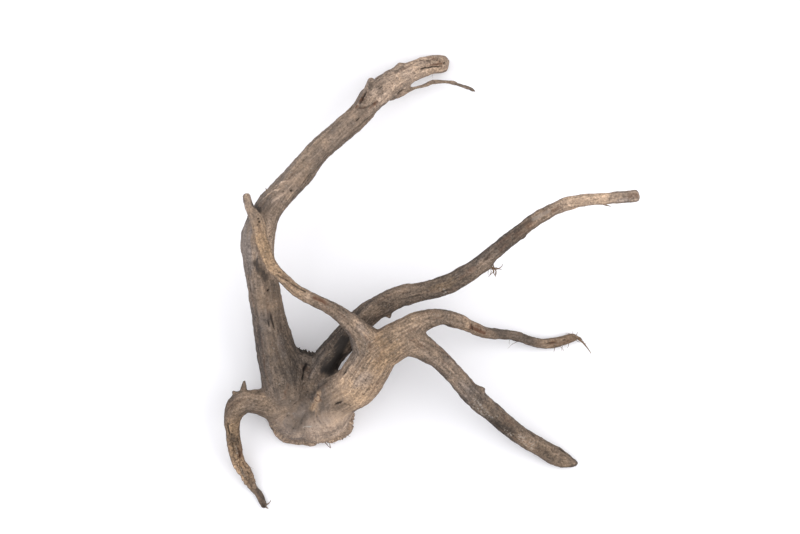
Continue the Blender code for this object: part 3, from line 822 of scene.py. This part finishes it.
def worm_holes(skin, shape, rng):
    """Small round holes at random places: their height and how dark they are."""
    height = np.zeros(skin.count)
    dark = np.zeros(skin.count)
    for centre in skin.points[rng.integers(0, skin.count, shape.worm_holes)]:
        radius = rng.uniform(0.5, 1.0) * MM
        gap = np.linalg.norm(skin.points - centre, axis=1) / radius
        cover = np.clip(1.5 - gap, 0.0, 1.0) * rng.uniform(0.3, 1.0)
        height -= cover * 1.1 * MM
        dark = np.maximum(dark, cover)
    return height, dark


def carve_wood(mesh, shape):
    """Shapes and paints the fine mesh: lumps, furrows, fibres, cracks, holes, stains and painted
    shade.
    """
    rng = np.random.default_rng(SEED)
    skin = Skin(mesh)
    grain, fibre, tone = read_grain(skin)
    ahead = step_ahead(skin, grain, shape.hop)
    weights = along_weights(skin, grain)

    def streaks(width, doublings):
        """Random streaks along the grain: width in passes of spreading, length in doublings."""
        values = skin.spread(rng.standard_normal(skin.count), width)
        values = drawn_out(skin.spread(values, 2, weights), ahead, doublings)
        return standard(skin.spread(values, 2, weights))

    pattern = {
        "fine": streaks(0, 3),
        "broad": streaks(5, 4),
        "lines": streaks(1, 3),
        "blotch": standard(lump_noise(skin, 9 * MM, 5.0)),
        "patch": standard(lump_noise(skin, 26 * MM, 11.0)),
        "rugged": np.clip(standard(lump_noise(skin, 3.4 * MM, 7.0)), -2.0, 2.0),
    }
    pattern["hollow"] = -standard(skin.spread(pattern["broad"], 1))
    crack = np.clip((pattern["lines"] - shape.crack_level) / 0.7, 0.0, 1.0)
    mark_height, paint = mark_skin(skin, pattern["fine"])
    hole_height, hole_dark = worm_holes(skin, shape, rng)
    height = shape.swell + mark_height + hole_height
    height += lump_noise(skin, shape.lump_size, 0.0) * shape.lump_height
    height += pattern["broad"] * shape.furrow_depth + pattern["fine"] * shape.fibre_depth
    height += paint["rough"] * pattern["rugged"] * shape.rough_height
    height -= crack * shape.crack_depth
    skin.push(height)

    paint["dark"] = np.maximum.reduce([paint["dark"], 0.85 * crack, 0.8 * hole_dark])
    skin.store_vectors("fibre", fibre * MM)
    paint_wood(skin, tone, pattern, paint)
    mesh.shade_smooth()


def paint_wood(skin, tone, pattern, paint):
    """Stores what the material reads: the wood's paleness and tan, its stains, painted shade and
    chalk.
    """
    # Painted shade: the flanks and the underside are made darker than the sides that face up.
    # The limbs' left sides, turned from the right-hand light, are painted greyer as shade.
    flank = np.clip(0.75 - skin.normals[:, 2], 0.0, 0.6)
    left = np.clip(-skin.normals[:, 0] - 0.25, 0.0, 1.0)
    parts = {**pattern, **paint, "flank": flank, "left": left}
    paleness = tone[:, 0] + sum(share * parts[name] for name, share in PALE_SHARES.items())
    warmth = tone[:, 1] + sum(share * parts[name] for name, share in TAN_SHARES.items())
    scatter = np.clip(standard(lump_noise(skin, 1.6 * MM, 3.0)) - 0.7, 0.0, 0.6) / 0.6
    skin.store("paleness", np.clip(paleness, 0.0, 2.0))
    stored = {
        "warmth": warmth,
        "dark": paint["dark"],
        "shade": paint["shade"],
        "rust": paint["rust"] * (0.6 + 0.3 * pattern["fine"] + 0.25 * pattern["blotch"]),
        "chalk": np.maximum(paint["chalk"], paint["flecks"] * scatter),
        "worn": paint["worn"],
    }
    for name, values in stored.items():
        skin.store(name, np.clip(values, 0.0, 1.0))


# ---------------------------------------------------------------------------- materials


def add_node(tree, kind, settings=None, links=None):
    """Adds a node. Settings name its properties or inputs; links give an input and its source."""
    node = tree.nodes.new(f"ShaderNode{kind}")
    for name, value in (settings or {}).items():
        if isinstance(name, str) and hasattr(node, name):
            setattr(node, name, value)
        else:
            node.inputs[name].default_value = value
    for name, source in (links or {}).items():
        tree.links.new(source, node.inputs[name])
    return node


def new_material(name):
    material = bpy.data.materials.new(name)
    material.use_nodes = True
    return material, material.node_tree, material.node_tree.nodes["Principled BSDF"]


def weathered_wood(finish):
    """Sun-bleached driftwood: raw root wood, worn by water and dried. It has no sheen at all.

    The eye sees silver-grey and tan patches, fine fibres a millimetre wide, and black cracks.
    """
    material, tree, shader = new_material("sun_bleached_driftwood")
    painted = {
        name: add_node(tree, "Attribute", {"attribute_name": name}).outputs["Fac"]
        for name in ("paleness", "warmth", "dark", "shade", "rust", "chalk", "worn")
    }
    fibre = add_node(tree, "Attribute", {"attribute_name": "fibre"}).outputs["Vector"]
    place = add_node(tree, "TexCoord").outputs["Object"]
    # Fibres run eight times as long as they're wide.
    stretch = add_node(tree, "Mapping", {"Scale": (1.0, 1.0, 0.12)}, {"Vector": fibre})
    stretched = stretch.outputs["Vector"]

    # Each pattern: what it follows, its size in millimetres, its detail and its roughness. Real
    # fibres and pores are about 0.3 mm wide, and they're drawn 2 mm wide so that they show.
    patterns = {
        "fibres": (stretched, 2.0, 3.0, 0.7),
        "streaks": (stretched, 4.5, 3.0, 0.65),
        "speckle": (place, 2.1, 3.0, 0.75),
        "pores": (place, 2.0, 1.0, 0.5),
        "mottle": (place, 5.5, 4.0, 0.6),
    }
    pattern = {}
    for name, (source, size, detail, roughness) in patterns.items():
        settings = {"Scale": 1.0 / (size * MM), "Detail": detail, "Roughness": roughness}
        texture = add_node(tree, "TexNoise", settings, {"Vector": source})
        pattern[name] = texture.outputs["Fac"]
    # Each effect: the pattern it's read from, the stretch of it that's read, and the values given.
    smoothest = finish.roughness - 0.08
    roughest = min(finish.roughness + 0.1, 1.0)
    effects = {
        "grain_shade": ("fibres", 0.3, 0.7, 0.66, 1.36),
        "speckle_shade": ("speckle", 0.3, 0.7, 0.42, 1.62),
        "mottle_shade": ("mottle", 0.3, 0.7, 0.86, 1.14),
        "red_streaks": ("streaks", 0.55, 0.72, 0.0, 0.4),
        "pale_flecks": ("pores", 0.36, 0.24, 0.0, 0.3),
        "dark_pores": ("pores", 0.64, 0.76, 0.0, 0.6),
        "roughness": ("speckle", 0.3, 0.7, smoothest, roughest),
    }
    effect = {}
    for name, (source, low, high, to_low, to_high) in effects.items():
        settings = {"From Min": low, "From Max": high, "To Min": to_low, "To Max": to_high}
        reading = add_node(tree, "MapRange", settings, {"Value": pattern[source]})
        effect[name] = reading.outputs["Result"]

    # Paleness is judged on the eye's scale, so it's raised to the eye's power to give the light
    # sent back.
    power = {"operation": "POWER", 1: 2.2}
    light = add_node(tree, "Math", power, {0: painted["paleness"]}).outputs[0]
    # Where the wood is rubbed smooth, the fine patterns fade towards 1, which changes nothing.
    product = {"operation": "MULTIPLY"}
    for name in ("grain_shade", "speckle_shade", "mottle_shade"):
        fading = {0: painted["worn"], 2: effect[name]}
        faded = add_node(tree, "Mix", {3: 1.0}, fading).outputs[0]
        light = add_node(tree, "Math", product, {0: light, 1: faded}).outputs[0]
    colours = {"data_type": "RGBA", 6: tuple(finish.grey), 7: tuple(finish.tan)}
    wood = add_node(tree, "Mix", colours, {0: painted["warmth"]}).outputs[2]
    lit = add_node(tree, "HueSaturation", {}, {"Value": light, "Color": wood})
    wood = lit.outputs["Color"]
    # Each layer covers the ones before it by its own amount.
    layers = (
        (effect["red_streaks"], finish.rust),
        (painted["rust"], finish.rust),
        (effect["pale_flecks"], finish.chalk),
        (painted["chalk"], finish.chalk),
        # The shade and dark layers hold stains and cracks, and also the painted shadows of limbs on
        # limbs.
        (painted["shade"], finish.shade),
        (effect["dark_pores"], finish.shade),
        (painted["dark"], finish.dark),
    )
    for amount, colour in layers:
        settings = {"data_type": "RGBA", 7: tuple(colour)}
        wood = add_node(tree, "Mix", settings, {0: amount, 6: wood}).outputs[2]
    tree.links.new(wood, shader.inputs["Base Color"])
    tree.links.new(effect["roughness"], shader.inputs["Roughness"])
    shader.inputs["Specular IOR Level"].default_value = 0.25

    normal = None
    for name, distance in (("fibres", 0.3 * MM), ("speckle", 0.25 * MM)):
        links = {"Height": pattern[name]}
        if normal:
            links["Normal"] = normal
        bump = add_node(tree, "Bump", {"Strength": 0.6, "Distance": distance}, links)
        normal = bump.outputs["Normal"]
    tree.links.new(normal, shader.inputs["Normal"])
    return material


def dried_rootlet(finish):
    """Dried root fibre: thin brown bark, dull and streaked lengthwise, darker in places."""
    material, tree, shader = new_material("dried_root_bark")
    place = add_node(tree, "TexCoord").outputs["Object"]
    # Bark scales on rootlets this thin are about 1.2 mm long.
    settings = {"Scale": 1.0 / (1.2 * MM), "Detail": 3.0}
    scales = add_node(tree, "TexNoise", settings, {"Vector": place}).outputs["Fac"]
    settings = {"From Min": 0.3, "From Max": 0.7, "To Min": 0.6, "To Max": 1.5}
    value = add_node(tree, "MapRange", settings, {"Value": scales}).outputs["Result"]
    settings = {"Color": tuple(finish.rootlet)}
    bark = add_node(tree, "HueSaturation", settings, {"Value": value})
    tree.links.new(bark.outputs["Color"], shader.inputs["Base Color"])
    shader.inputs["Roughness"].default_value = 0.9
    settings = {"Strength": 0.5, "Distance": 0.1 * MM}
    bump = add_node(tree, "Bump", settings, {"Height": scales})
    tree.links.new(bump.outputs["Normal"], shader.inputs["Normal"])
    return material


def painted_floor(colour):
    """Matt white board: an even pale surface that takes the soft shadows."""
    material, _, shader = new_material("matt_white_board")
    shader.inputs["Base Color"].default_value = tuple(colour)
    shader.inputs["Roughness"].default_value = 0.9
    shader.inputs["Specular IOR Level"].default_value = 0.2
    return material


# ---------------------------------------------------------------------------- pieces


class DRIFTWOOD_OT_wood(bpy.types.Operator):
    """Make the weathered wood around the CAD solid"""

    bl_idname = "object.driftwood_wood"
    bl_label = "Wood"

    def execute(self, context):
        scene = context.scene
        mesh = fine_copy(scene.driftwood_shape)
        carve_wood(mesh, scene.driftwood_shape)
        mesh.materials.clear()
        mesh.materials.append(weathered_wood(scene.driftwood_finish))
        wood = bpy.data.objects.new("weathered_wood_body", mesh)
        context.collection.objects.link(wood)
        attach(wood, "root")
        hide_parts(NODE)
        return {"FINISHED"}


def add_rootlet(curve, row, rng):
    """One tapering rootlet that bends as it grows."""
    x, y, z, heading, rise, length, curl, thickness = row
    turn = math.radians(heading)
    lift = math.radians(rise)
    place = Vector((x, y, z))
    spline = curve.splines.new("POLY")
    spline.points.add(ROOTLET_STEPS)
    for k, point in enumerate(spline.points):
        point.co = (*(place * MM), 1.0)
        point.radius = thickness / 2 * (1.0 - ROOTLET_TAPER * k / ROOTLET_STEPS)
        level = math.cos(lift)
        way = Vector((math.cos(turn) * level, math.sin(turn) * level, math.sin(lift)))
        place = place + way * (length / ROOTLET_STEPS)
        place.z = max(place.z, thickness / 2)
        turn += math.radians(curl) / ROOTLET_STEPS + rng.normal(0.0, 0.09)
        lift += rng.normal(0.0, 0.12)


class DRIFTWOOD_OT_rootlets(bpy.types.Operator):
    """Make the dried rootlets, hairs and splinters"""

    bl_idname = "object.driftwood_rootlets"
    bl_label = "Rootlets"

    def execute(self, context):
        material = dried_rootlet(context.scene.driftwood_finish)
        rng = np.random.default_rng(SEED)
        for name, rows in ROOTLETS.items():
            curve = bpy.data.curves.new(name, "CURVE")
            curve.dimensions = "3D"
            curve.bevel_depth = MM
            curve.bevel_resolution = 2
            curve.use_fill_caps = True
            for row in rows:
                add_rootlet(curve, row, rng)
            curve.materials.append(material)
            piece = bpy.data.objects.new(name, curve)
            context.collection.objects.link(piece)
            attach(piece, "root")
        return {"FINISHED"}


def soft_light(name, place, aim, power):
    """A large square light that faces the wood, for soft-edged shadows."""
    light = bpy.data.lights.new(name, "AREA")
    light.shape = "SQUARE"
    light.size = LIGHT_SIZE
    light.energy = power
    lamp = bpy.data.objects.new(name, light)
    lamp.location = place
    lamp.rotation_mode = "QUATERNION"
    lamp.rotation_quaternion = (Vector(aim) - Vector(place)).to_track_quat("-Z", "Y")
    bpy.context.collection.objects.link(lamp)


class DRIFTWOOD_OT_stage(bpy.types.Operator):
    """Make the floor, the soft light and the camera"""

    bl_idname = "object.driftwood_stage"
    bl_label = "Stage"

    def execute(self, context):
        stage = context.scene.driftwood_stage
        mesh = bpy.data.meshes.new("floor")
        corners = ((-1, -1), (1, -1), (1, 1), (-1, 1))
        places = [(x * FLOOR_REACH, y * FLOOR_REACH, -FLOOR_GAP) for x, y in corners]
        mesh.from_pydata(places, [], [(0, 1, 2, 3)])
        mesh.materials.append(painted_floor(stage.floor))
        floor = bpy.data.objects.new("floor", mesh)
        context.collection.objects.link(floor)

        world = bpy.data.worlds.new("even_room_light")
        world.use_nodes = True
        background = world.node_tree.nodes["Background"]
        background.inputs["Color"].default_value = linear_colour("#fbfcff")
        background.inputs["Strength"].default_value = stage.sky
        context.scene.world = world
        middle = (Vector(CAD_LOW) + Vector(CAD_HIGH)) / 2
        for name, away, share in LIGHTS:
            soft_light(name, middle + Vector(away), middle, share * stage.side_power)

        camera = bpy.data.cameras.new("camera")
        camera.lens = stage.lens
        camera.sensor_width = 36.0
        eye = bpy.data.objects.new("camera", camera)
        eye.location = (*CAMERA_PLACE, stage.camera_height)
        context.collection.objects.link(eye)
        context.scene.camera = eye
        context.scene.view_settings.view_transform = "Standard"
        return {"FINISHED"}


class DRIFTWOOD_PT_panel(bpy.types.Panel):
    """The driftwood's pieces and settings"""

    bl_label = "Driftwood"
    bl_idname = "DRIFTWOOD_PT_panel"
    bl_space_type = "VIEW_3D"
    bl_region_type = "UI"
    bl_category = "Driftwood"

    def draw(self, context):
        groups = (
            (context.scene.driftwood_shape, ("object.driftwood_wood",)),
            (context.scene.driftwood_finish, ("object.driftwood_rootlets",)),
            (context.scene.driftwood_stage, ("object.driftwood_stage",)),
        )
        for group, operators in groups:
            box = self.layout.box()
            for name in group.__annotations__:
                box.prop(group, name)
            for operator in operators:
                box.operator(operator)


CLASSES = (
    DriftwoodShape,
    DriftwoodFinish,
    DriftwoodStage,
    DRIFTWOOD_OT_wood,
    DRIFTWOOD_OT_rootlets,
    DRIFTWOOD_OT_stage,
    DRIFTWOOD_PT_panel,
)


def register():
    for cls in CLASSES:
        bpy.utils.register_class(cls)
    bpy.types.Scene.driftwood_shape = PointerProperty(type=DriftwoodShape)
    bpy.types.Scene.driftwood_finish = PointerProperty(type=DriftwoodFinish)
    bpy.types.Scene.driftwood_stage = PointerProperty(type=DriftwoodStage)


def unregister():
    del bpy.types.Scene.driftwood_stage
    del bpy.types.Scene.driftwood_finish
    del bpy.types.Scene.driftwood_shape
    for cls in reversed(CLASSES):
        bpy.utils.unregister_class(cls)


def main():
    register()
    bpy.ops.object.driftwood_wood()
    bpy.ops.object.driftwood_rootlets()
    bpy.ops.object.driftwood_stage()


if __name__ == "__main__":
    main()
